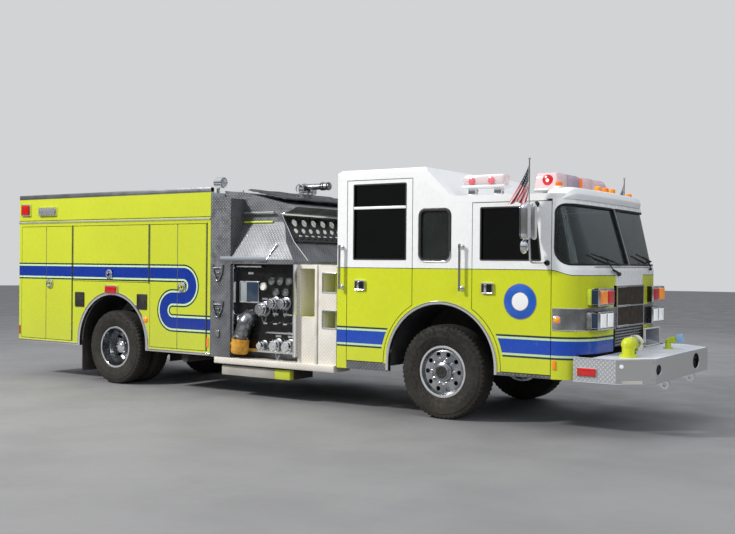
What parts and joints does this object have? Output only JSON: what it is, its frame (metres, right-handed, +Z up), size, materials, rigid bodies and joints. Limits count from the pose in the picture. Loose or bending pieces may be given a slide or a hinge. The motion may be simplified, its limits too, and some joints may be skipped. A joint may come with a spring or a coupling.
{
  "type": "fire engine",
  "caption": "Fire engine with a tilting crew cab, mid-mounted pump module, hose bed and side compartments with doors that open, on steered single front and twin rear wheels.",
  "frame": {"origin": "on the ground, in the middle of the overall length and width", "axes": "+X forward, +Y to the left, +Z up"},
  "size_m": [9.895, 3.05, 2.905],
  "materials": {
    "lime_paint": "gloss",
    "white_paint": "gloss",
    "frame_black": "satin",
    "chrome": "polished",
    "bright_plate": "tread plate",
    "polished_wheel": "polished",
    "black_panel": "gloss",
    "brass_fittings": "cast and plated",
    "tyre_rubber": "matt",
    "window_glass": "tinted",
    "seat_fabric": "woven",
    "dash_plastic": "matt",
    "lamp_lens": "clear",
    "cast_black": "painted"
  },
  "bodies": {
    "chassis": {"frame_rails": "frame_black", "front_axle": "cast_black", "rear_axle": "cast_black", "engine_block": "cast_black", "front_bumper": "chrome", "tow_eyes": "frame_black", "body_side_left": "lime_paint", "body_side_right": "lime_paint", "hose_bed": "frame_black", "pump_house": "bright_plate", "pump_panels": "black_panel", "walkway": "bright_plate", "pump_fittings": "brass_fittings", "underbody": "frame_black", "body_lamps": "lamp_lens", "hand_rails": "chrome"},
    "cab": {"cab_sides": "lime_paint", "cab_front": "lime_paint", "cab_glass": "window_glass", "cab_roof": "white_paint", "cab_floor": "dash_plastic", "grille": "chrome", "head_lamps": "chrome", "seats": "seat_fabric", "dashboard": "dash_plastic", "light_bars": "lamp_lens", "cab_rails": "chrome"},
    "tie_rod": {"tie_rod": "cast_black"},
    "monitor_fork": {"monitor_fork": "cast_black"},
    "monitor_barrel": {"monitor_barrel": "chrome"},
    "front_door_left": {"front_door_left": "lime_paint", "front_door_glass_left": "window_glass", "mirror_left": "chrome"},
    "rear_door_left": {"rear_door_left": "lime_paint", "rear_door_glass_left": "window_glass"},
    "knuckle_left": {"knuckle_left": "cast_black"},
    "front_wheel_left": {"front_rim_left": "polished_wheel", "front_tyre_left": "tyre_rubber"},
    "rear_wheels_left": {"rear_rims_left": "polished_wheel", "rear_tyres_left": "tyre_rubber"},
    "body_door_a_left": {"body_door_a_left": "lime_paint"},
    "body_door_b_left": {"body_door_b_left": "lime_paint"},
    "body_door_d_left": {"body_door_d_left": "lime_paint"},
    "body_door_e_left": {"body_door_e_left": "lime_paint"},
    "body_door_c_left": {"body_door_c_left": "lime_paint"},
    "front_door_right": {"front_door_right": "lime_paint", "front_door_glass_right": "window_glass", "mirror_right": "chrome"},
    "rear_door_right": {"rear_door_right": "lime_paint", "rear_door_glass_right": "window_glass"},
    "knuckle_right": {"knuckle_right": "cast_black"},
    "front_wheel_right": {"front_rim_right": "polished_wheel", "front_tyre_right": "tyre_rubber"},
    "rear_wheels_right": {"rear_rims_right": "polished_wheel", "rear_tyres_right": "tyre_rubber"},
    "body_door_a_right": {"body_door_a_right": "lime_paint"},
    "body_door_b_right": {"body_door_b_right": "lime_paint"},
    "body_door_d_right": {"body_door_d_right": "lime_paint"},
    "body_door_e_right": {"body_door_e_right": "lime_paint"},
    "body_door_c_right": {"body_door_c_right": "lime_paint"}
  },
  "joints": [
    {"name": "cab_tilt", "type": "hinge", "parent": "chassis", "child": "cab", "pos_m": [4.2595, 0, 0.905], "axis": [0, 1, 0], "range_deg": [0, 45]},
    {"name": "monitor_swivel", "type": "hinge", "parent": "chassis", "child": "monitor_fork", "pos_m": [-0.3305, 0, 2.72], "axis": [0, 0, 1], "continuous": true},
    {"name": "monitor_elevation", "type": "hinge", "parent": "monitor_fork", "child": "monitor_barrel", "pos_m": [-0.3305, 0, 2.815], "axis": [0, -1, 0], "range_deg": [0, 80]},
    {"name": "steer_left", "type": "hinge", "parent": "chassis", "child": "knuckle_left", "pos_m": [2.5695, 0.9, 0.5375], "axis": [0, 0, 1], "range_deg": [-38, 38]},
    {"name": "front_wheel_spin_left", "type": "hinge", "parent": "knuckle_left", "child": "front_wheel_left", "pos_m": [2.5695, 1.0425, 0.5375], "axis": [0, 1, 0], "continuous": true},
    {"name": "rear_wheel_spin_left", "type": "hinge", "parent": "chassis", "child": "rear_wheels_left", "pos_m": [-2.8405, 0.894, 0.525], "axis": [0, 1, 0], "continuous": true},
    {"name": "front_door_hinge_left", "type": "hinge", "parent": "cab", "child": "front_door_left", "pos_m": [3.9115, 1.235, 1.5], "axis": [0, 0, -1], "range_deg": [0, 80]},
    {"name": "rear_door_hinge_left", "type": "hinge", "parent": "cab", "child": "rear_door_left", "pos_m": [2.1915, 1.235, 1.5], "axis": [0, 0, -1], "range_deg": [0, 80]},
    {"name": "body_door_a_left_hinge", "type": "hinge", "parent": "chassis", "child": "body_door_a_left", "pos_m": [-4.8825, 1.235, 1.4], "axis": [0, 0, 1], "range_deg": [0, 90]},
    {"name": "body_door_b_left_hinge", "type": "hinge", "parent": "chassis", "child": "body_door_b_left", "pos_m": [-3.7285, 1.235, 1.4], "axis": [0, 0, -1], "range_deg": [0, 90]},
    {"name": "body_door_d_left_hinge", "type": "hinge", "parent": "chassis", "child": "body_door_d_left", "pos_m": [-2.0725, 1.235, 1.4], "axis": [0, 0, 1], "range_deg": [0, 90]},
    {"name": "body_door_e_left_hinge", "type": "hinge", "parent": "chassis", "child": "body_door_e_left", "pos_m": [-1.0285, 1.235, 1.4], "axis": [0, 0, -1], "range_deg": [0, 90]},
    {"name": "body_door_c_left_lift", "type": "hinge", "parent": "chassis", "child": "body_door_c_left", "pos_m": [-2.9005, 1.235, 2.27], "axis": [1, 0, 0], "range_deg": [0, 90]},
    {"name": "steer_right", "type": "hinge", "parent": "chassis", "child": "knuckle_right", "pos_m": [2.5695, -0.9, 0.5375], "axis": [0, 0, 1], "range_deg": [-38, 38]},
    {"name": "front_wheel_spin_right", "type": "hinge", "parent": "knuckle_right", "child": "front_wheel_right", "pos_m": [2.5695, -1.0425, 0.5375], "axis": [0, 1, 0], "continuous": true},
    {"name": "rear_wheel_spin_right", "type": "hinge", "parent": "chassis", "child": "rear_wheels_right", "pos_m": [-2.8405, -0.894, 0.525], "axis": [0, 1, 0], "continuous": true},
    {"name": "front_door_hinge_right", "type": "hinge", "parent": "cab", "child": "front_door_right", "pos_m": [3.9115, -1.235, 1.5], "axis": [0, 0, 1], "range_deg": [0, 80]},
    {"name": "rear_door_hinge_right", "type": "hinge", "parent": "cab", "child": "rear_door_right", "pos_m": [2.1915, -1.235, 1.5], "axis": [0, 0, 1], "range_deg": [0, 80]},
    {"name": "body_door_a_right_hinge", "type": "hinge", "parent": "chassis", "child": "body_door_a_right", "pos_m": [-4.8825, -1.235, 1.4], "axis": [0, 0, -1], "range_deg": [0, 90]},
    {"name": "body_door_b_right_hinge", "type": "hinge", "parent": "chassis", "child": "body_door_b_right", "pos_m": [-3.7285, -1.235, 1.4], "axis": [0, 0, 1], "range_deg": [0, 90]},
    {"name": "body_door_d_right_hinge", "type": "hinge", "parent": "chassis", "child": "body_door_d_right", "pos_m": [-2.0725, -1.235, 1.4], "axis": [0, 0, -1], "range_deg": [0, 90]},
    {"name": "body_door_e_right_hinge", "type": "hinge", "parent": "chassis", "child": "body_door_e_right", "pos_m": [-1.0285, -1.235, 1.4], "axis": [0, 0, 1], "range_deg": [0, 90]},
    {"name": "body_door_c_right_lift", "type": "hinge", "parent": "chassis", "child": "body_door_c_right", "pos_m": [-2.9005, -1.235, 2.27], "axis": [-1, 0, 0], "range_deg": [0, 90]},
    {"name": "tie_rod_pin", "type": "hinge", "parent": "knuckle_left", "child": "tie_rod", "pos_m": [2.3695, 0.848, 0.3935], "axis": [0, 0, 1], "range_deg": [-38, 38]}
  ],
  "couplings": [
    {"joint": "steer_right", "follows": "steer_left", "ratio": 1},
    {"joint": "tie_rod_pin", "follows": "steer_left", "ratio": -1}
  ]
}
